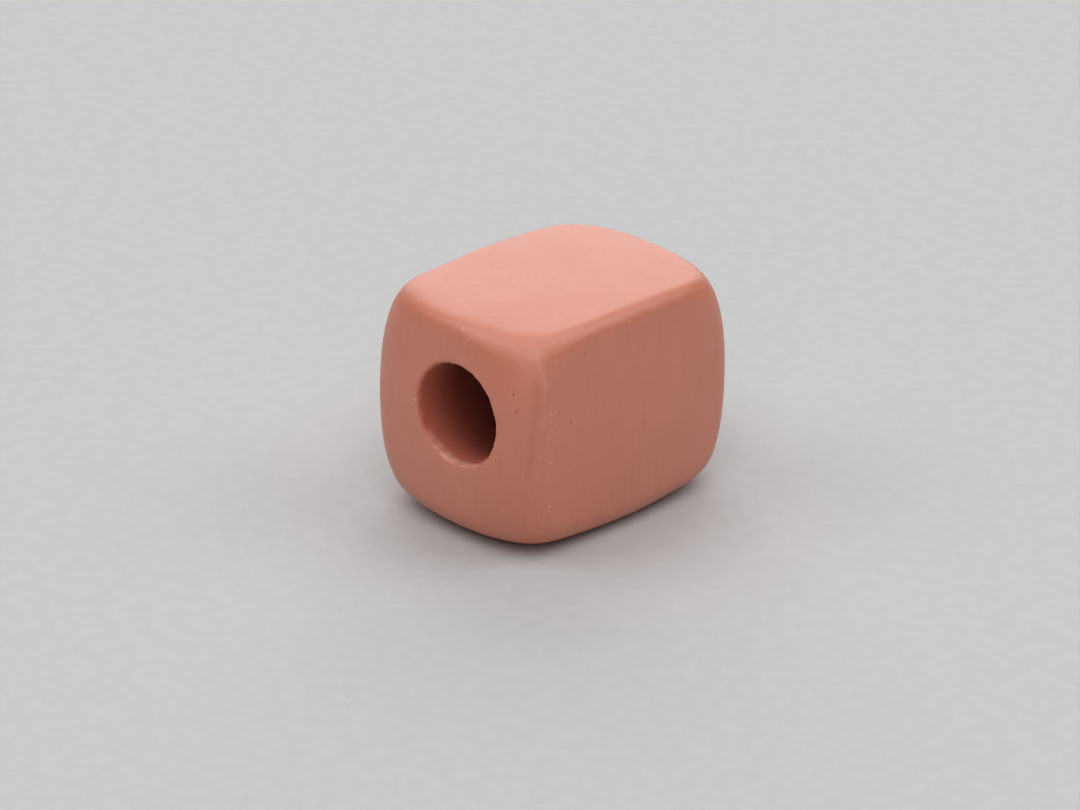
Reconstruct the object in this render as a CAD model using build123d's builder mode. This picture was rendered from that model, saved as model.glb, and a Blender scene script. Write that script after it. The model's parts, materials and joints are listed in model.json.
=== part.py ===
from build123d import *
import os
from math import sqrt

# Cube bead for cord: one piece of painted wood, longer along its bore than it is wide. All
# six faces are shallow crowns, each a patch of a large ball. The edges are tumbled round,
# and the top and the base are rubbed flat in their middle, so that the bead stands. One
# plain bore runs right through, drilled a little off the middle of the end faces.
# Millimetres. X is across the bore, Y is along the bore and Z is up. The origin is in the
# middle of the base that the bead rests on.

# Outer size, over the middle of opposite faces
WIDTH = 8.0
LENGTH = 10.4
HEIGHT = 8.0

# Radius of the ball that crowns the four long faces, and of the one for the two ends
SIDE_CROWN_RADIUS = 36.0
END_CROWN_RADIUS = 27.0

# Radius of the flat land in the middle of the top and of the base
LAND_RADIUS = 1.6

# Tumbled edges: the four upright ones, and those that run round the top and the base
UPRIGHT_ROUNDING = 2.0
LEVEL_ROUNDING = 1.55

# Bore for the cord, and how far its axis stands off the middle of the end faces
BORE_DIAMETER = 3.4
BORE_OFFSET_X = 0.75
BORE_OFFSET_Z = 0.7

# Softening where the bore breaks out of the end faces
MOUTH_ROUNDING = 0.2

# The square blank is this much larger than the bead on every side
BLANK_ALLOWANCE = 1.0

MIDDLE = Vector(0, 0, HEIGHT / 2)
SIDEWAYS = Vector(1, 0, 0)
ALONG = Vector(0, 1, 0)
UP = Vector(0, 0, 1)

# The crowns of the top and the base stand this far above their lands
LAND_DEPTH = SIDE_CROWN_RADIUS - sqrt(SIDE_CROWN_RADIUS**2 - LAND_RADIUS**2)


def ball_centres(outward, depth, radius):
    """Centres of the two balls that crown the faces lying at depth along outward."""
    return MIDDLE + outward * (depth - radius), MIDDLE - outward * (depth - radius)


def level_edges(body):
    """Edges that run round the crown of the top and the crown of the base."""
    faces = body.faces().sort_by(Axis.Z)
    return faces[0].edges() + faces[-1].edges()


with BuildPart() as bead:
    # Square blank
    with Locations(MIDDLE):
        Box(
            WIDTH + 2 * BLANK_ALLOWANCE,
            LENGTH + 2 * BLANK_ALLOWANCE,
            HEIGHT + 2 * BLANK_ALLOWANCE,
        )

    # Crowned faces. Each ball is turned so that its seam and its poles miss the bead.
    for outward, depth, radius, turn in (
        (SIDEWAYS, WIDTH / 2, SIDE_CROWN_RADIUS, (0, 0, 90)),
        (ALONG, LENGTH / 2, END_CROWN_RADIUS, (0, 0, 0)),
        (UP, HEIGHT / 2 + LAND_DEPTH, SIDE_CROWN_RADIUS, (90, 0, 0)),
    ):
        for centre in ball_centres(outward, depth, radius):
            with Locations(centre):
                Sphere(radius, rotation=turn, mode=Mode.INTERSECT)

    # Tumbled edges: four of the twelve stand between those of the base and of the top
    fillet(bead.edges().sort_by(Axis.Z)[4:8], UPRIGHT_ROUNDING)
    fillet(level_edges(bead), LEVEL_ROUNDING)

    # Bore, drilled from the front end right through the back
    front = MIDDLE - ALONG * (LENGTH / 2)
    bore_start = front + SIDEWAYS * BORE_OFFSET_X + UP * BORE_OFFSET_Z
    with Locations(Plane(bore_start, z_dir=-ALONG)):
        Hole(radius=BORE_DIAMETER / 2, depth=LENGTH)

    # Softened mouths, at both ends of the bore's wall
    wall = bead.faces().filter_by(GeomType.CYLINDER)[0]
    fillet(wall.edges().filter_by(GeomType.LINE, reverse=True), MOUTH_ROUNDING)

    # Flat lands of the top and the base
    with Locations(MIDDLE):
        Box(
            WIDTH + 2 * BLANK_ALLOWANCE,
            LENGTH + 2 * BLANK_ALLOWANCE,
            HEIGHT,
            mode=Mode.INTERSECT,
        )

bead.part.label = "bead"

os.makedirs("parts", exist_ok=True)
export_step(bead.part, "parts/bead.step")
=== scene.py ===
"""A cube bead of painted wood on a pale studio floor.

The bead is one piece. Its skin is a fine mesh that takes the place of the solid, with the same
crowned faces and the same bore. Its edges are rounded less than the solid's, and least at the
top in front. Wear and grain are laid on that skin.
"""

import json
import logging
import math
import random
from dataclasses import dataclass
from enum import Enum

import bmesh
import bpy
import numpy as np
from mathutils import Matrix, Vector, noise


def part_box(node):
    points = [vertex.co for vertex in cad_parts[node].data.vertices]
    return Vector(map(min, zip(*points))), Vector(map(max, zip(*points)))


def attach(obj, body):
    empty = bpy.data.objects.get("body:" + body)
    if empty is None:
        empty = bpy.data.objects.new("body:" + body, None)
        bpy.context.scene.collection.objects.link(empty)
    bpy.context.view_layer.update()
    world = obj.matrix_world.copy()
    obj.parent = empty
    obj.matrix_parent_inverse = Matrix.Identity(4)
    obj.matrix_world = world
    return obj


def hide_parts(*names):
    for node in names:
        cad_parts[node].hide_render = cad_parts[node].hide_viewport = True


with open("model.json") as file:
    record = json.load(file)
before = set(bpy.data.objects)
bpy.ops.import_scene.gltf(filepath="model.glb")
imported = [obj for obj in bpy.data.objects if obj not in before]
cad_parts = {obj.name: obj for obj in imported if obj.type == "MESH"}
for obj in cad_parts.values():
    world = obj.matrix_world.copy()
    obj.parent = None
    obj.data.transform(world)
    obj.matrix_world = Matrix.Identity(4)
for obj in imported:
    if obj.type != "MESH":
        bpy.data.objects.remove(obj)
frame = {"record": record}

MM = 0.001
REACH = 12 * MM
BISECTIONS = 20

log = logging.getLogger("bead")


def smooth_step(value: np.ndarray, start: float, end: float) -> np.ndarray:
    """Rises smoothly from 0 where value is start to 1 where it is end."""
    share = np.clip((value - start) / (end - start), 0, 1)
    return share**2 * (3 - 2 * share)


class Side(Enum):
    """The bead's three directions, each with its place in a point."""

    ACROSS = 0
    ALONG = 1
    UP = 2


@dataclass(frozen=True)
class Depth:
    """How far points stand outside some faces, negative inside, and which way those faces look."""

    out: np.ndarray
    normal: np.ndarray

    def choose(self, chosen: np.ndarray, other: "Depth") -> "Depth":
        """Takes this where chosen is true and another depth elsewhere."""
        return Depth(
            np.where(chosen, self.out, other.out),
            np.where(chosen[..., None], self.normal, other.normal),
        )

    def rounded_with(self, other: "Depth", radius: np.ndarray | float) -> "Depth":
        """Joins these faces with others by a rounding that a ball would roll along.

        Args:
            other: the depth of the other faces.
            radius: the radius of the rounding, which may differ from point to point.

        Returns:
            The depth of all the faces together.
        """
        first = self.out + radius
        second = other.out + radius
        turn = np.sum(self.normal * other.normal, axis=-1)
        spread = np.maximum(1 - turn**2, 0.01)
        share = (first - turn * second) / spread
        other_share = (second - turn * first) / spread
        away = share[..., None] * self.normal + other_share[..., None] * other.normal
        length = np.maximum(np.linalg.norm(away, axis=-1), 1e-12)
        edge = Depth(length - radius, away / length[..., None])
        faces = self.choose(self.out > other.out, other)
        return edge.choose((share > 0) & (other_share > 0), faces)

    def eased_with(self, other: "Depth", width: float) -> "Depth":
        """Joins these faces with others that they meet almost flat, with no crease.

        Args:
            other: the depth of the other faces.
            width: the difference between the two over which they blend.

        Returns:
            The depth of all the faces together.
        """
        share = np.clip((self.out - other.out) / width, -1, 1)
        raised = (1 - np.abs(share)) ** 2 * width / 4
        mixed = (1 + share[..., None]) * self.normal + (1 - share[..., None]) * other.normal
        normal = mixed / np.linalg.norm(mixed, axis=-1, keepdims=True)
        return Depth(np.maximum(self.out, other.out) + raised, normal)


@dataclass(frozen=True)
class Bore:
    """The plain hole for the cord."""

    across: float
    up: float
    radius: float
    mouth_rounding: float = 0.17 * MM

    @classmethod
    def from_record(cls, record: dict) -> "Bore":
        """Reads the bore's place and radius from the record's mount.

        Args:
            record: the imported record.

        Returns:
            The bore.
        """
        mount = next(m for m in record["mounts"] if m["name"] == "bore")
        across, _, up = mount["pos_m"]
        return cls(across, up, mount["dims"]["r_mm"] * MM)

    def reach(self, points: np.ndarray) -> np.ndarray:
        """Distance of each point from the bore's axis."""
        return np.hypot(points[..., 0] - self.across, points[..., 2] - self.up)

    def depth(self, points: np.ndarray) -> Depth:
        """Depth of points behind the bore's wall, which looks towards its axis."""
        reach = np.maximum(self.reach(points), 1e-9)
        inward = [(self.across - points[..., 0]) / reach, 0 * reach, (self.up - points[..., 2]) / reach]
        return Depth(self.radius - reach, np.stack(inward, axis=-1))


@dataclass(frozen=True)
class BeadForm:
    """The bead's form: the room inside six large balls, with rounded edges and worn corners.

    Each pair says where something begins and where it is full, measured from the bead's middle.
    Pairs named front or right are measured towards -Y or -X, and the others towards +X or +Z.
    crisp_shares are shares of the way from the middle to a face.
    """

    middle: Vector
    bore: Bore
    width: float = 8.0 * MM
    length: float = 10.4 * MM
    height: float = 8.0 * MM
    side_crown: float = 36.0 * MM
    end_crown: float = 27.0 * MM
    land_radius: float = 1.6 * MM
    land_easing: float = 0.03 * MM
    upright_rounding: float = 1.55 * MM
    level_rounding: float = 1.15 * MM
    bored_rounding: float = 0.5 * MM
    near_rounding: float = 0.85 * MM
    side_rounding: float = 0.65 * MM
    lift: float = 0.12 * MM
    corner_reach: float = 6.16 * MM
    corner_easing: float = 0.5 * MM
    crisp_shares: tuple = (0.3, 0.7)
    crisp_left: tuple = (-4.1 * MM, -2.4 * MM)
    crisp_front: tuple = (-4.8 * MM, -3 * MM)
    crisp_near: tuple = (0.5 * MM, 3 * MM)
    upper: tuple = (0, 2 * MM)
    lift_front: tuple = (0.8 * MM, 4.6 * MM)
    lift_left: tuple = (-4 * MM, -2 * MM)
    lift_right: tuple = (-2.5 * MM, 0)

    @property
    def land_depth(self) -> float:
        """How far the crowns of the top and the base would stand above their flat lands."""
        return self.side_crown - math.sqrt(self.side_crown**2 - self.land_radius**2)

    def crown(self, points: np.ndarray, side: Side, half: float, radius: float) -> Depth:
        """Depth of points below the two balls that crown a pair of opposite faces.

        Args:
            points: points, with their three values last.
            side: the direction that the two faces look in.
            half: how far each crown stands from the bead's middle.
            radius: the radius of the two balls.

        Returns:
            The depth of the pair of faces.
        """
        spoke = points - np.array(self.middle)
        facing = np.where(spoke[..., side.value] < 0, -1.0, 1.0)
        spoke[..., side.value] += facing * (radius - half)
        reach = np.linalg.norm(spoke, axis=-1)
        return Depth(reach - radius, spoke / reach[..., None])

    def land(self, points: np.ndarray) -> Depth:
        """Depth of points below the flat lands of the top and the base."""
        above = points[..., 2] - self.middle.z
        facing = np.where(above < 0, -1.0, 1.0)
        normal = facing[..., None] * np.array((0.0, 0.0, 1.0))
        return Depth(np.abs(above) - self.height / 2, normal)

    def outside(self, points: np.ndarray) -> Depth:
        """Depth of points below the bead's faces and edges, with no bore."""
        across = self.crown(points, Side.ACROSS, self.width / 2, self.side_crown)
        along = self.crown(points, Side.ALONG, self.length / 2, self.end_crown)
        crown = self.crown(points, Side.UP, self.height / 2 + self.land_depth, self.side_crown)
        up = crown.eased_with(self.land(points), self.land_easing)
        up = Depth(up.out - self.lift * self.lifted(points), up.normal)
        upright = across.rounded_with(along, self.upright_rounding)
        edges = upright.rounded_with(up, self.level_radius(points))
        return edges.eased_with(self.corners(points), self.corner_easing)

    def level_radius(self, points: np.ndarray) -> np.ndarray:
        """Radius of the edges round the top and the base, which are crisper at the top in front."""
        spoke = points - np.array(self.middle)
        begin, full = self.crisp_shares
        bored = smooth_step(-spoke[..., 1], begin * self.length / 2, full * self.length / 2)
        side = smooth_step(spoke[..., 0], begin * self.width / 2, full * self.width / 2)
        ends = smooth_step(spoke[..., 0], *self.crisp_left) * smooth_step(-spoke[..., 1], *self.crisp_front)
        near = smooth_step(spoke[..., 0], *self.crisp_near)
        over_bore = self.bored_rounding + (self.near_rounding - self.bored_rounding) * near
        crisp = (over_bore * bored + self.side_rounding * side) / np.maximum(bored + side, 1e-6)
        share = np.maximum(bored, side) * ends * smooth_step(spoke[..., 2], *self.upper)
        return self.level_rounding + (crisp - self.level_rounding) * share

    def lifted(self, points: np.ndarray) -> np.ndarray:
        """Share of the strip over the bored end where the top is less worn down."""
        spoke = points - np.array(self.middle)
        strip = smooth_step(-spoke[..., 1], *self.lift_front) * smooth_step(spoke[..., 2], *self.upper)
        ends = smooth_step(spoke[..., 0], *self.lift_left) * smooth_step(-spoke[..., 0], *self.lift_right)
        return strip * ends

    def corners(self, points: np.ndarray) -> Depth:
        """Depth of points below the ball that the eight corners are worn back to."""
        spoke = points - np.array(self.middle)
        reach = np.maximum(np.linalg.norm(spoke, axis=-1), 1e-9)
        return Depth(reach - self.corner_reach, spoke / reach[..., None])

    def bored(self, points: np.ndarray) -> Depth:
        """Depth of points below the surface of the bead with its bore."""
        return self.outside(points).rounded_with(self.bore.depth(points), self.bore.mouth_rounding)

    def trace(self, starts: np.ndarray, ways: np.ndarray, reach: np.ndarray | float) -> np.ndarray:
        """Goes from points in the wood straight out to the surface.

        Args:
            starts: points inside the wood.
            ways: the unit direction to go in from each.
            reach: a distance by which each way has left the wood, and hasn't entered it again.

        Returns:
            The point where each way meets the surface.
        """
        near = np.zeros(ways.shape[:-1] + (1,))
        far = near + reach
        for _ in range(BISECTIONS):
            half = (near + far) / 2
            inside = self.bored(starts + half * ways).out[..., None] < 0
            near = np.where(inside, half, near)
            far = np.where(inside, far, half)
        return starts + near * ways


@dataclass(frozen=True)
class Line:
    """A worn line on the bead, as points in millimetres along it."""

    points: tuple
    width: float
    rise: float

    def share(self, points: np.ndarray) -> np.ndarray:
        """How much of the line is felt at points, from 1 on it to 0 away from it."""
        knots = np.array(self.points) * MM
        gap = np.full(len(points), REACH)
        for start, end in zip(knots[:-1], knots[1:]):
            run = end - start
            along = np.clip((points - start) @ run / (run @ run), 0, 1)
            gap = np.minimum(gap, np.linalg.norm(points - start - along[:, None] * run, axis=1))
        return np.exp(-((gap / self.width) ** 2))


@dataclass(frozen=True)
class Relief:
    """What tumbling, the drill and thick paint have left on the bead's skin, and where shade and highlights
    are painted on it.
    """

    form: BeadForm
    skin_depth: float = 0.006 * MM
    swell: float = 0.014 * MM
    swell_size: float = 1.4 * MM
    dimple: float = 0.004 * MM
    dimple_size: float = 0.33 * MM
    ragged: float = 0.035 * MM
    ragged_size: float = 0.2 * MM
    fibre: float = 0.010 * MM
    pit_depth: float = 0.035 * MM
    pit_radius: float = 0.04 * MM
    lowered: float = 0.7
    fibre_size: tuple = (0.35 * MM, 1.4 * MM, 0.35 * MM)
    end_face: tuple = (0.90, 0.96)
    rim_width: float = 0.12 * MM
    back_rim: float = 0.25
    lip_width: float = 0.05 * MM
    lip_gap: float = 0.02 * MM
    wall_fade: tuple = (0.02 * MM, 0.14 * MM)
    # Depth into the bore at which its painted shade is full.
    painted_shade_full_at: float = 1.9 * MM
    # How strongly painted shade darkens the pits.
    pit_painted_shade: float = 0.8
    # Strength of the painted highlight along raised ridges.
    ridge_highlight: float = 0.16
    front_edge: tuple = (3.65, -4.20)
    front_reach: float = 0.75 * MM
    pits: tuple = (
        (3.806, -2.245, 6.984),
        (3.024, -4.719, 6.083),
        (3.167, -4.726, 5.536),
        (3.869, -2.963, 4.805),
    )
    lines: tuple = (
        Line(
            ((3.560, -4.150, 6.350), (3.600, -4.190, 5.700), (3.560, -4.330, 4.900), (3.519, -4.468, 3.235)),
            0.13 * MM,
            -0.014 * MM,
        ),
        Line(
            ((3.367, -3.949, 7.175), (3.570, -3.924, 6.745), (3.702, -3.874, 6.178)),
            0.10 * MM,
            0.022 * MM,
        ),
    )

    def pattern(self, points: np.ndarray, size: float | tuple, start: float) -> np.ndarray:
        """Smooth noise at points, from -1 to 1.

        Args:
            points: where it is wanted.
            size: the size of its features, or one size for each direction.
            start: a shift that makes patterns of one size differ.

        Returns:
            One number for each point.
        """
        return np.array([noise.noise(place) for place in (points / size + start).tolist()])

    def mouth(self, points: np.ndarray) -> np.ndarray:
        """Share of the ragged rim at points: 1 on the front mouth, where the drill broke out."""
        gap = self.form.bore.reach(points) - self.form.bore.radius
        face = -points[:, 1] / (self.form.length / 2)
        share = smooth_step(face, *self.end_face) + self.back_rim * smooth_step(-face, *self.end_face)
        return np.exp(-((gap / self.rim_width) ** 2)) * share

    def wall(self, points: np.ndarray) -> np.ndarray:
        """Share of the bore's wall at points: 1 on it and 0 outside the bore."""
        gap = self.form.bore.reach(points) - self.form.bore.radius
        return 1 - smooth_step(gap, *self.wall_fade)

    def deep(self, points: np.ndarray) -> np.ndarray:
        """Share of painted shade in the bore at points: 0 at either mouth and 1 deep inside, where it is
        darkest.
        """
        inside = self.form.length / 2 - np.abs(points[:, 1])
        return smooth_step(inside, 0, self.painted_shade_full_at) * self.wall(points)

    def pitted(self, points: np.ndarray) -> np.ndarray:
        """Share of a pit at points."""
        share = np.zeros(len(points))
        for pit in self.pits:
            gap = np.linalg.norm(points - np.array(pit) * MM, axis=1)
            share = np.maximum(share, np.exp(-((gap / self.pit_radius) ** 2)))
        return share

    def rise(self, points: np.ndarray) -> np.ndarray:
        """How far the skin stands out at points, negative inwards."""
        swell = (self.pattern(points, self.swell_size, 3.1) - self.lowered) * self.swell
        dimple = (self.pattern(points, self.dimple_size, 7.7) - self.lowered) * self.dimple
        rim = self.pattern(points, self.ragged_size, 1.9) * self.ragged * self.mouth(points)
        streaks = self.pattern(points, self.fibre_size, 5.3)
        fibre = streaks * self.fibre * self.wall(points)
        total = swell + dimple + rim + fibre - self.skin_depth
        total -= self.pit_depth * self.pitted(points)
        for line in self.lines:
            total += line.rise * line.share(points)
        return total

    def dents(self, points: np.ndarray) -> np.ndarray:
        """Share of painted shade in the pits and the grooves at points."""
        share = self.pitted(points) * self.pit_painted_shade
        uneven = 0.10 + 0.12 * self.pattern(points, 0.45 * MM, 2.3)
        for line in self.lines:
            if line.rise < 0:
                share = np.maximum(share, uneven * line.share(points))
        return share

    def pale(self, points: np.ndarray) -> np.ndarray:
        """Share of painted highlight at points: along raised ridges and on the lower and right lip of the
        bore's front mouth.
        """
        share = np.zeros(len(points))
        for line in self.lines:
            if line.rise > 0:
                share = np.maximum(share, self.ridge_highlight * line.share(points))
        bore = self.form.bore
        gap = bore.reach(points) - bore.radius - self.lip_gap
        below = smooth_step(bore.up - points[:, 2], 0.45 * bore.radius, bore.radius)
        beside = 0.5 * smooth_step(points[:, 0] - bore.across, 0.5 * bore.radius, bore.radius)
        # Painted highlight on the lower and right lip of the bore.
        worn = np.maximum(below, beside)
        face = smooth_step(-points[:, 1] / (self.form.length / 2), *self.end_face)
        uneven = 0.55 + 0.6 * self.pattern(points, 0.3 * MM, 8.2)
        return np.maximum(share, np.exp(-((gap / self.lip_width) ** 2)) * worn * face * uneven)

    def front(self, points: np.ndarray) -> np.ndarray:
        """Share of the fibres that show along the front upright edge at points."""
        gap = np.hypot(points[:, 0] - self.front_edge[0] * MM, points[:, 1] - self.front_edge[1] * MM)
        return np.exp(-((gap / self.front_reach) ** 2))

    def lay(self, mesh: bpy.types.Mesh) -> None:
        """Moves a mesh's points by the relief, and notes on them where it is worn and where shade and
        highlights are painted.

        Args:
            mesh: the bead's mesh.
        """
        points = np.empty(len(mesh.vertices) * 3)
        mesh.vertices.foreach_get("co", points)
        points = points.reshape(-1, 3)
        normal = self.form.bored(points).normal
        flat = np.abs(normal).max(axis=1)
        notes = {
            "edge": smooth_step(1 - flat, 0.03, 0.25) * (1 - self.wall(points)),
            "bore": self.wall(points),
            "deep": self.deep(points),
            "dent": self.dents(points),
            "front": self.front(points),
            "pale": self.pale(points),
        }
        moved = points + self.rise(points)[:, None] * normal
        mesh.vertices.foreach_set("co", moved.ravel())
        for name, values in notes.items():
            note = mesh.attributes.new(name, "FLOAT", "POINT")
            note.data.foreach_set("value", values.astype(np.float32))


@dataclass(frozen=True)
class BeadSkin:
    """The bead's skin: a sheet of quads rolled round the bore and closed through it."""

    form: BeadForm
    around: int = 400
    along: int = 240
    fine: float = 0.055 * MM
    coarse: float = 0.16 * MM
    weld: float = 0.0005 * MM

    def angles(self) -> np.ndarray:
        """Angles about the bore of the lines that run along the bead, evenly apart outside.

        Returns:
            One angle for each line, from the side that the bore stands nearer to.
        """
        trial = np.linspace(0, 2 * np.pi, 1441)
        outline = self.section_ways(trial)
        hub = self.hub(np.zeros_like(trial))
        rim = self.form.trace(hub + outline * self.form.bore.radius * 1.1, outline, REACH)
        steps = np.linalg.norm(np.diff(rim, axis=0), axis=1)
        middle = (trial[1:] + trial[:-1]) / 2
        seen = 1.0 + 0.5 * np.cos(middle - math.radians(45))
        travelled = np.concatenate([[0], np.cumsum(steps * seen)])
        shares = np.arange(self.around + 1) / self.around
        return np.interp(shares * travelled[-1], travelled, trial)

    def hub(self, along: np.ndarray) -> np.ndarray:
        """Points on the bore's axis at the given places along it."""
        bore = self.form.bore
        return np.stack([bore.across + 0 * along, along, bore.up + 0 * along], axis=-1)

    def section_ways(self, angles: np.ndarray) -> np.ndarray:
        """Directions straight away from the bore's axis at the given angles."""
        return np.stack([np.cos(angles), 0 * angles, np.sin(angles)], axis=-1)

    def spacing(self, points: np.ndarray) -> np.ndarray:
        """Distance wanted between neighbouring rings at points: fine towards the front."""
        front = self.form.middle[1] - self.form.length / 2
        behind = np.clip((points[..., 1] - front - 3 * MM) / (6 * MM), 0, 1)
        wanted = self.fine + (self.coarse - self.fine) * behind
        in_bore = self.form.bore.reach(points) < self.form.bore.radius + 0.02 * MM
        depth = np.clip((points[..., 1] - front - 0.6 * MM) / (2 * MM), 0, 1)
        return np.where(in_bore, wanted + 0.35 * MM * depth, wanted)

    def places(self) -> np.ndarray:
        """Places of all the sheet's points on the bead.

        Returns:
            An array of points, first by line round the bore and then by ring along it.
        """
        ways = self.section_ways(self.angles())[:, None, :]
        hub = self.hub(np.zeros(1))
        rim = self.form.trace(hub + ways * self.form.bore.radius * 1.1, ways, REACH)
        starts = (rim + hub + ways * self.form.bore.radius) / 2
        turns = np.linspace(-np.pi, np.pi, 601)[None, :, None]
        spokes = np.cos(turns) * ways + np.sin(turns) * np.array((0, 1, 0))
        to_axis = self.form.bore.reach(starts)[..., None] / np.maximum(-np.cos(turns), 0.1)
        outline = self.form.trace(starts, spokes, np.minimum(to_axis, REACH))
        steps = np.linalg.norm(np.diff(outline, axis=1), axis=-1)
        wanted = self.spacing((outline[:, 1:] + outline[:, :-1]) / 2)
        travelled = np.concatenate([np.zeros((len(steps), 1)), np.cumsum(steps / wanted, axis=1)], axis=1)
        shares = np.arange(self.along + 1) / self.along
        placed = np.empty((len(steps), self.along + 1, 3))
        for line, (way, points) in enumerate(zip(travelled, outline)):
            for axis in range(3):
                placed[line, :, axis] = np.interp(shares * way[-1], way, points[:, axis])
        return placed

    def build(self) -> bpy.types.Object:
        """Makes the skin.

        Returns:
            The bead's object, at the origin, with its place in its mesh.
        """
        sheet = bmesh.new()
        bmesh.ops.create_grid(sheet, x_segments=self.around, y_segments=self.along, size=0.5)
        grid = np.array([v.co for v in sheet.verts])
        line = np.rint((grid[:, 0] + 0.5) * self.around).astype(int)
        ring = np.rint((grid[:, 1] + 0.5) * self.along).astype(int)
        points = self.places()[line, ring]
        for vert, point in zip(sheet.verts, points):
            vert.co = point
        bmesh.ops.remove_doubles(sheet, verts=sheet.verts, dist=self.weld)
        bmesh.ops.recalc_face_normals(sheet, faces=sheet.faces)
        mesh = bpy.data.meshes.new("painted_bead")
        sheet.to_mesh(mesh)
        sheet.free()
        Relief(self.form).lay(mesh)
        mesh.shade_smooth()
        skin = bpy.data.objects.new("painted_bead", mesh)
        bpy.context.scene.collection.objects.link(skin)
        return skin


@dataclass(frozen=True)
class PaintNibs:
    """Specks of thick paint that stand out of the skin, most of them in a row by the front edge."""

    form: BeadForm
    row: tuple = (
        (3.790, -3.700, 5.500),
        (3.797, -3.740, 4.790),
        (3.800, -3.785, 4.098),
        (3.796, -3.779, 3.382),
        (3.782, -3.718, 2.642),
        (3.739, -3.765, 1.926),
        (3.595, -4.072, 1.693),
        (3.361, -4.337, 1.556),
    )
    row_count: int = 44
    row_spread: float = 0.05
    strays: tuple = (
        (0.720, -4.633, 7.565),
        (1.093, -4.767, 7.380),
        (3.810, -0.274, 7.519),
        (3.907, -0.222, 6.580),
        (3.938, -0.247, 6.102),
        (3.964, -1.304, 4.927),
        (3.324, -4.701, 4.063),
        (3.384, -4.625, 3.276),
        (2.722, -4.881, 1.946),
        (-0.406, -4.013, 7.809),
        (-0.200, -3.942, 7.819),
        (0.226, -3.946, 7.818),
        (-1.094, -5.167, 4.646),
        (2.810, -5.002, 4.409),
        (2.900, -4.980, 4.380),
    )
    scattered: int = 45
    smallest: float = 0.013 * MM
    largest: float = 0.036 * MM
    sunk: float = 0.35
    clear_of_bore: float = 0.1 * MM
    settling_steps: int = 12
    seed: int = 11

    def wanted(self, draw: random.Random) -> list[tuple[Vector, float]]:
        """Chooses where nibs are wanted, in the air near the skin, and how large they are.

        Args:
            draw: the source of random numbers.

        Returns:
            One place and radius for each nib.
        """
        knots = [Vector(knot) * MM for knot in self.row]
        chosen = []
        for _ in range(self.row_count):
            share = draw.random() * (len(knots) - 1)
            start = int(share)
            place = knots[start].lerp(knots[start + 1], share - start)
            place += Vector([draw.gauss(0, self.row_spread * MM) for _ in range(3)])
            chosen.append((place, draw.triangular(self.smallest, self.largest, self.smallest)))
        for stray in self.strays:
            chosen.append((Vector(stray) * MM, draw.uniform(self.smallest * 1.3, self.largest)))
        for _ in range(self.scattered):
            way = Vector([draw.gauss(0, 1) for _ in range(3)]).normalized()
            reach = Vector((way.x * self.form.width, way.y * self.form.length, way.z * self.form.height))
            chosen.append((self.form.middle + reach / 2, draw.uniform(self.smallest, self.smallest * 1.8)))
        return chosen

    def seat(self, place: Vector, radius: float) -> tuple[Vector, Vector]:
        """Moves a nib straight down to the skin, into which it is sunk.

        Args:
            place: where it is wanted.
            radius: its radius.

        Returns:
            Its middle, and the way that the skin looks there.
        """
        point = np.array(place)[None, :]
        for _ in range(self.settling_steps):
            depth = self.form.bored(point)
            point = point - depth.out[:, None] * depth.normal
        way = Vector(self.form.bored(point).normal[0])
        relief = float(Relief(self.form).rise(point)[0])
        return Vector(point[0]) + (relief - self.sunk * radius) * way, way

    def build(self) -> bpy.types.Object:
        """Makes the nibs.

        Returns:
            Their object, at the origin, with their places in its mesh.
        """
        draw = random.Random(self.seed)
        sheet = bmesh.new()
        for place, radius in self.wanted(draw):
            middle, way = self.seat(place, radius)
            if self.form.bore.reach(np.array(middle)) < self.form.bore.radius + self.clear_of_bore:
                continue
            stretch = Matrix.Diagonal((draw.uniform(0.7, 1.5), draw.uniform(0.7, 1.2), 0.8, 1.0))
            spin = Matrix.Rotation(draw.uniform(0, math.tau), 4, "Z")
            aim = way.to_track_quat("Z", "Y").to_matrix().to_4x4()
            place_at = Matrix.Translation(middle) @ aim @ spin @ stretch
            bmesh.ops.create_icosphere(sheet, subdivisions=2, radius=radius, matrix=place_at)
        bmesh.ops.recalc_face_normals(sheet, faces=sheet.faces)
        mesh = bpy.data.meshes.new("paint_nibs")
        sheet.to_mesh(mesh)
        sheet.free()
        mesh.shade_smooth()
        nibs = bpy.data.objects.new("paint_nibs", mesh)
        bpy.context.scene.collection.objects.link(nibs)
        return nibs


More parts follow.
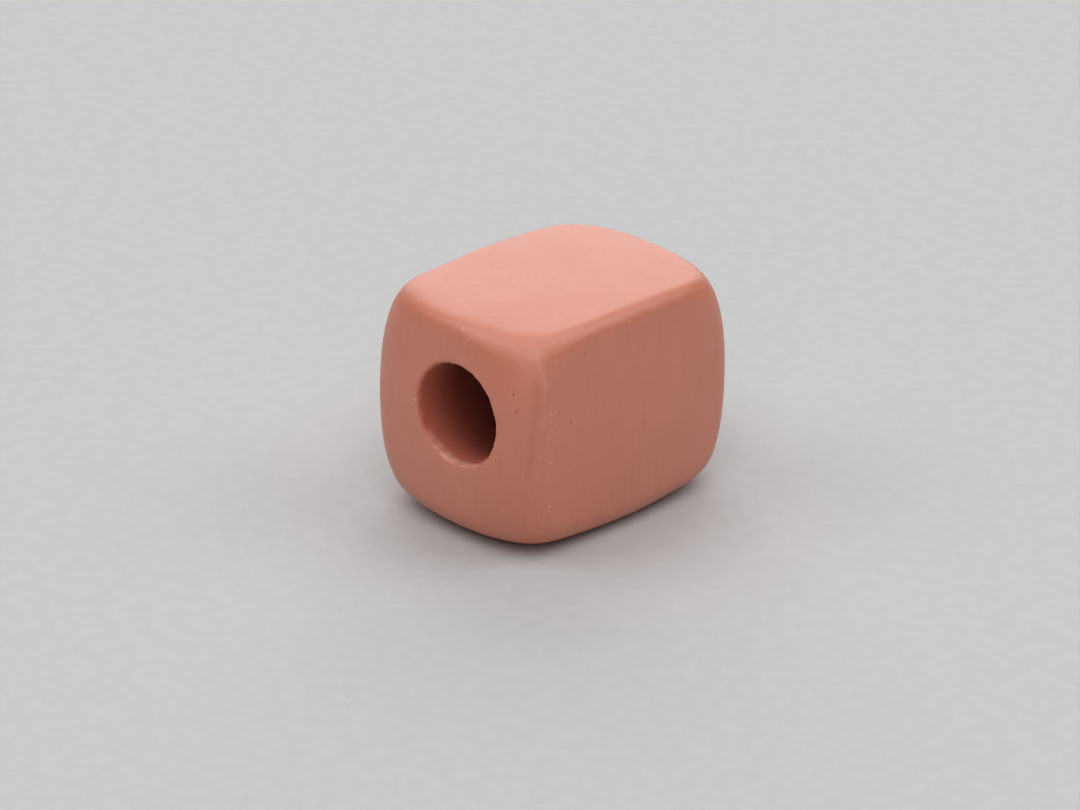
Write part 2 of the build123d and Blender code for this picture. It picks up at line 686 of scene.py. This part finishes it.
class Value:
    """A number that may vary over a surface. Arithmetic on it adds Math nodes."""

    def __init__(self, board: "Board", socket: bpy.types.NodeSocket) -> None:
        """Wraps a socket.

        Args:
            board: the board that the socket's node is on.
            socket: the output that gives the number.
        """
        self.board = board
        self.socket = socket

    def math(self, operation: str, *values: "Value | float") -> "Value":
        """Adds one Math node.

        Args:
            operation: the node's operation.
            values: what goes into its sockets, in order.

        Returns:
            The node's result.
        """
        made = self.board.node("ShaderNodeMath", {"operation": operation}, dict(enumerate(values)))
        return Value(self.board, made.outputs[0])

    def __add__(self, other: "Value | float") -> "Value":
        """Sum of this and another value."""
        return self.math("ADD", self, other)

    def __radd__(self, other: "Value | float") -> "Value":
        """Sum of another value and this."""
        return self.math("ADD", other, self)

    def __sub__(self, other: "Value | float") -> "Value":
        """This less another value."""
        return self.math("SUBTRACT", self, other)

    def __rsub__(self, other: "Value | float") -> "Value":
        """Another value less this."""
        return self.math("SUBTRACT", other, self)

    def __mul__(self, other: "Value | float") -> "Value":
        """Product of this and another value."""
        return self.math("MULTIPLY", self, other)

    def __rmul__(self, other: "Value | float") -> "Value":
        """Product of another value and this."""
        return self.math("MULTIPLY", other, self)

    def ramp(self, start: float, end: float) -> "Value":
        """Rises smoothly from 0 where this is start to 1 where it is end."""
        settings = {"interpolation_type": "SMOOTHSTEP"}
        inputs = {"Value": self, "From Min": start, "From Max": end}
        made = self.board.node("ShaderNodeMapRange", settings, inputs)
        return Value(self.board, made.outputs["Result"])


class Board:
    """A node tree, to which nodes are added by one method."""

    def __init__(self, tree: bpy.types.NodeTree) -> None:
        """Starts with an empty tree."""
        tree.nodes.clear()
        self.tree = tree

    def node(self, kind: str, settings: dict | None = None, inputs: dict | None = None) -> bpy.types.Node:
        """Adds a node.

        Args:
            kind: the node's type.
            settings: its settings by name, which are set first.
            inputs: values, sockets or wrapped values by the name or place of its inputs.

        Returns:
            The node.
        """
        made = self.tree.nodes.new(kind)
        for name, value in (settings or {}).items():
            setattr(made, name, value)
        for name, value in (inputs or {}).items():
            source = value.socket if isinstance(value, Value) else value
            if isinstance(source, bpy.types.NodeSocket):
                self.tree.links.new(source, made.inputs[name])
            else:
                made.inputs[name].default_value = source
        return made

    def blend(self, share: Value | float, first: object, second: object) -> bpy.types.NodeSocket:
        """Mixes two colours.

        Args:
            share: 0 for the first and 1 for the second.
            first: a colour, or the socket of one.
            second: the other.

        Returns:
            The socket of the mixed colour.
        """
        made = self.node("ShaderNodeMix", {"data_type": "RGBA"}, {0: share, 6: first, 7: second})
        return made.outputs[2]


@dataclass(frozen=True)
class PaintedWood:
    """Satin coral paint on fine-grained wood, with the grain showing through."""

    paint: tuple = (0.605, 0.201, 0.127, 1.0)
    pale_paint: tuple = (0.63, 0.214, 0.137, 1.0)
    grain_shade: tuple = (0.50, 0.152, 0.097, 1.0)
    edge_wear_and_painted_shade: tuple = (0.62, 0.197, 0.115, 1.0)
    bore_stain: tuple = (0.49, 0.118, 0.070, 1.0)
    deep_bore_painted_shade: tuple = (0.17, 0.020, 0.008, 1.0)
    recess_painted_shade: tuple = (0.30, 0.040, 0.018, 1.0)
    scratch: tuple = (0.72, 0.31, 0.22, 1.0)
    painted_highlight: tuple = (0.88, 0.47, 0.36, 1.0)
    sheen: float = 0.68
    grain_pitch: float = 0.16
    grain_length: float = 1.8

    def pattern(self, board: Board, places: bpy.types.NodeSocket, size: tuple, detail: float) -> Value:
        """Adds smooth noise.

        Args:
            board: the board to add it to.
            places: where it is read, in metres.
            size: the size of its features in millimetres, in each direction.
            detail: how many finer layers it has.

        Returns:
            The noise, from 0 to 1.
        """
        scale = tuple(1 / (length * MM) for length in size)
        mapped = board.node("ShaderNodeMapping", inputs={"Vector": places, "Scale": scale})
        inputs = {"Vector": mapped.outputs[0], "Scale": 1.0, "Detail": detail}
        return Value(board, board.node("ShaderNodeTexNoise", inputs=inputs).outputs["Fac"])

    def note(self, board: Board, name: str) -> Value:
        """Reads one of the numbers that the relief has noted on the skin."""
        read = board.node("ShaderNodeAttribute", {"attribute_name": name})
        return Value(board, read.outputs["Fac"])

    def dress(self, piece: bpy.types.Object) -> None:
        """Gives a piece this finish.

        Args:
            piece: the object to dress.
        """
        material = bpy.data.materials.new("coral_paint")
        material.use_nodes = True
        board = Board(material.node_tree)
        places = board.node("ShaderNodeTexCoord").outputs["Object"]
        pitch, length = self.grain_pitch, self.grain_length
        grain = self.pattern(board, places, (pitch, pitch, length), 3.0)
        patches = self.pattern(board, places, (1.3, 1.3, 2.2), 1.0)
        mottle = self.pattern(board, places, (1.6, 1.6, 1.6), 3.0)
        speckle = self.pattern(board, places, (0.07, 0.07, 0.09), 1.0)
        streak = self.pattern(board, places, (0.08, 0.08, 0.42), 2.0)
        edge, bore = self.note(board, "edge"), self.note(board, "bore")
        deep, dent = self.note(board, "deep"), self.note(board, "dent")
        front, pale = self.note(board, "front"), self.note(board, "pale")

        shown = grain.ramp(0.46, 0.80) * (0.35 + 0.65 * patches.ramp(0.40, 0.62))
        colour = board.blend(mottle.ramp(0.30, 0.70), self.paint, self.pale_paint)
        colour = board.blend(shown * (0.22 + 0.30 * front), colour, self.grain_shade)
        colour = board.blend(front * streak.ramp(0.52, 0.74) * 0.30, colour, self.scratch)
        colour = board.blend(speckle.ramp(0.60, 0.80) * 0.10, colour, self.grain_shade)
        # Deeper orange on the rounded edges: partly wear, partly painted shade where the paint's sheen falls
        # off.
        colour = board.blend(edge * mottle.ramp(0.25, 0.65) * 0.6, colour, self.edge_wear_and_painted_shade)
        colour = board.blend(bore, colour, self.bore_stain)
        # Painted shade: the bore's wall is coloured darker the deeper it lies.
        colour = board.blend(deep * (0.80 + 0.20 * mottle), colour, self.deep_bore_painted_shade)
        # Painted shade: darker in the pits and along the groove.
        colour = board.blend(dent, colour, self.recess_painted_shade)
        # Painted highlight: paler along the raised ridge and on the lip of the bore's front mouth.
        colour = board.blend(pale, colour, self.painted_highlight)

        roughness = 0.33 + 0.08 * mottle + 0.06 * grain + 0.30 * bore
        height = 0.0022 * grain * (0.3 + patches) + 0.0016 * speckle + 0.004 * mottle
        height = (height + 0.005 * front * streak) * (1 - bore)
        bump = board.node("ShaderNodeBump", inputs={"Height": height, "Strength": 1.0, "Distance": MM})
        shader = board.node(
            "ShaderNodeBsdfPrincipled",
            inputs={
                "Base Color": colour,
                "Roughness": roughness,
                "Specular IOR Level": self.sheen,
                "Normal": bump.outputs[0],
            },
        )
        board.node("ShaderNodeOutputMaterial", inputs={"Surface": shader.outputs[0]})
        piece.data.materials.clear()
        piece.data.materials.append(material)


@dataclass(frozen=True)
class ThickPaint:
    """Paler paint, where it stands proud and its gloss is rubbed off."""

    dull: tuple = (0.66, 0.27, 0.19, 1.0)
    bright: tuple = (0.86, 0.56, 0.46, 1.0)
    roughness: float = 0.55

    def dress(self, piece: bpy.types.Object) -> None:
        """Gives a piece this finish.

        Args:
            piece: the object to dress.
        """
        material = bpy.data.materials.new("thick_paint")
        material.use_nodes = True
        board = Board(material.node_tree)
        places = board.node("ShaderNodeTexCoord").outputs["Object"]
        inputs = {"Vector": places, "Scale": 1 / (0.25 * MM), "Detail": 2.0}
        drift = Value(board, board.node("ShaderNodeTexNoise", inputs=inputs).outputs["Fac"])
        colour = board.blend(drift.ramp(0.35, 0.65), self.dull, self.bright)
        roughness = self.roughness + 0.2 * (drift - 0.5)
        bump = board.node("ShaderNodeBump", inputs={"Height": 0.004 * drift, "Distance": MM})
        shader = board.node(
            "ShaderNodeBsdfPrincipled",
            inputs={"Base Color": colour, "Roughness": roughness, "Normal": bump.outputs[0]},
        )
        board.node("ShaderNodeOutputMaterial", inputs={"Surface": shader.outputs[0]})
        piece.data.materials.clear()
        piece.data.materials.append(material)


class Panel(Enum):
    """The soft lights: azimuth and elevation in degrees, length of a side in metres, and watts."""

    OVERHEAD = (0.0, 90.0, 0.5, 0.95)
    BEHIND_LOW = (225.7, 26.0, 0.6, 1.85)
    BEHIND_HIGH = (225.7, 50.0, 0.4, 0.35)
    LEFT = (315.7, 50.0, 0.4, 1.05)
    RIGHT = (135.7, 50.0, 0.4, 1.05)
    FRONT_HIGH = (45.7, 50.0, 0.4, 1.15)
    FRONT_LOW = (45.7, 20.0, 0.4, 0.45)


@dataclass(frozen=True)
class Studio:
    """A pale floor under soft light."""

    floor_colour: tuple = (0.520, 0.516, 0.517, 1.0)
    floor_fleck: tuple = (0.536, 0.533, 0.534, 1.0)
    backdrop_colour: tuple = (0.597, 0.597, 0.597, 1.0)
    floor_radius: float = 0.8
    sky: float = 0.02
    panel_distance: float = 0.6

    def floor(self) -> bpy.types.Object:
        """Makes the floor.

        Returns:
            The floor's object.
        """
        sheet = bmesh.new()
        bmesh.ops.create_circle(sheet, cap_ends=True, segments=96, radius=self.floor_radius)
        mesh = bpy.data.meshes.new("floor")
        sheet.to_mesh(mesh)
        sheet.free()
        floor = bpy.data.objects.new("floor", mesh)
        bpy.context.scene.collection.objects.link(floor)
        material = bpy.data.materials.new("pale_floor")
        material.use_nodes = True
        board = Board(material.node_tree)
        places = board.node("ShaderNodeTexCoord").outputs["Object"]
        inputs = {"Vector": places, "Scale": 1 / (0.55 * MM), "Detail": 3.0}
        fibre = Value(board, board.node("ShaderNodeTexNoise", inputs=inputs).outputs["Fac"])
        colour = board.blend(fibre.ramp(0.35, 0.65), self.floor_colour, self.floor_fleck)
        bump = board.node("ShaderNodeBump", inputs={"Height": 0.012 * fibre, "Distance": MM})
        shader = board.node(
            "ShaderNodeBsdfPrincipled",
            inputs={
                "Base Color": colour,
                "Roughness": 0.9,
                "Specular IOR Level": 0.2,
                "Normal": bump.outputs[0],
            },
        )
        board.node("ShaderNodeOutputMaterial", inputs={"Surface": shader.outputs[0]})
        mesh.materials.append(material)
        return floor

    def world(self) -> None:
        """Lights the scene softly from all round, with a pale backdrop for the camera."""
        world = bpy.data.worlds.new("studio")
        bpy.context.scene.world = world
        world.use_nodes = True
        board = Board(world.node_tree)
        path = board.node("ShaderNodeLightPath")
        light = (self.sky, self.sky, self.sky, 1.0)
        colour = board.blend(Value(board, path.outputs["Is Camera Ray"]), light, self.backdrop_colour)
        background = board.node("ShaderNodeBackground", inputs={"Color": colour})
        board.node("ShaderNodeOutputWorld", inputs={"Surface": background.outputs[0]})

    def panel(self, panel: Panel) -> bpy.types.Object:
        """Hangs a square soft light that faces the bead.

        Args:
            panel: which panel to hang.

        Returns:
            The light's object.
        """
        azimuth, elevation, size, watts = panel.value
        turn, rise = math.radians(azimuth), math.radians(elevation)
        away = Vector((math.sin(turn) * math.cos(rise), -math.cos(turn) * math.cos(rise), math.sin(rise)))
        lamp = bpy.data.lights.new(panel.name.lower(), "AREA")
        lamp.shape = "SQUARE"
        lamp.size = size
        lamp.energy = watts
        light = bpy.data.objects.new(lamp.name, lamp)
        aim = away.to_track_quat("Z", "Y").to_matrix().to_4x4()
        light.matrix_world = Matrix.Translation(self.panel_distance * away) @ aim
        light.visible_camera = False
        bpy.context.scene.collection.objects.link(light)
        return light


@dataclass(frozen=True)
class PhotoCamera:
    """The camera at the photograph's viewpoint."""

    azimuth: float = 45.93
    elevation: float = 25.45
    roll: float = 0.08
    distance: float = 166.6 * MM
    lens: float = 168.80
    left: float = 0.431 * MM
    down: float = 0.779 * MM

    def build(self, target: Vector) -> bpy.types.Object:
        """Sets the camera up.

        Args:
            target: the middle of the bead.

        Returns:
            The camera's object.
        """
        turn, rise, roll = (math.radians(v) for v in (self.azimuth, self.elevation, self.roll))
        back = Vector((math.sin(turn) * math.cos(rise), -math.cos(turn) * math.cos(rise), math.sin(rise)))
        level = Vector((math.cos(turn), math.sin(turn), 0))
        upright = back.cross(level)
        right = math.cos(roll) * level + math.sin(roll) * upright
        up = math.cos(roll) * upright - math.sin(roll) * level
        place = target + self.distance * back - self.left * right - self.down * up
        camera = bpy.data.objects.new("camera", bpy.data.cameras.new("camera"))
        camera.data.lens = self.lens
        camera.data.clip_start = 0.01
        axes = Matrix((right, up, back)).transposed().to_4x4()
        camera.matrix_world = Matrix.Translation(place) @ axes
        bpy.context.scene.collection.objects.link(camera)
        bpy.context.scene.camera = camera
        return camera


def main() -> None:
    """Builds the bead and the studio around it."""
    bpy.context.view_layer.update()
    bpy.context.scene.view_settings.view_transform = "Standard"
    low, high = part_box("bead")
    form = BeadForm((low + high) / 2, Bore.from_record(frame["record"]))
    bead = BeadSkin(form).build()
    PaintedWood().dress(bead)
    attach(bead, "root")
    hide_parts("bead")
    log.info("painted bead: %d faces", len(bead.data.polygons))

    nibs = PaintNibs(form).build()
    ThickPaint().dress(nibs)
    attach(nibs, "root")
    log.info("paint nibs: %d faces", len(nibs.data.polygons))

    studio = Studio()
    studio.floor()
    studio.world()
    for panel in Panel:
        studio.panel(panel)
    PhotoCamera().build(form.middle)
    log.info("floor, light and camera are set")


if __name__ == "__main__":
    logging.basicConfig(level=logging.INFO)
    main()
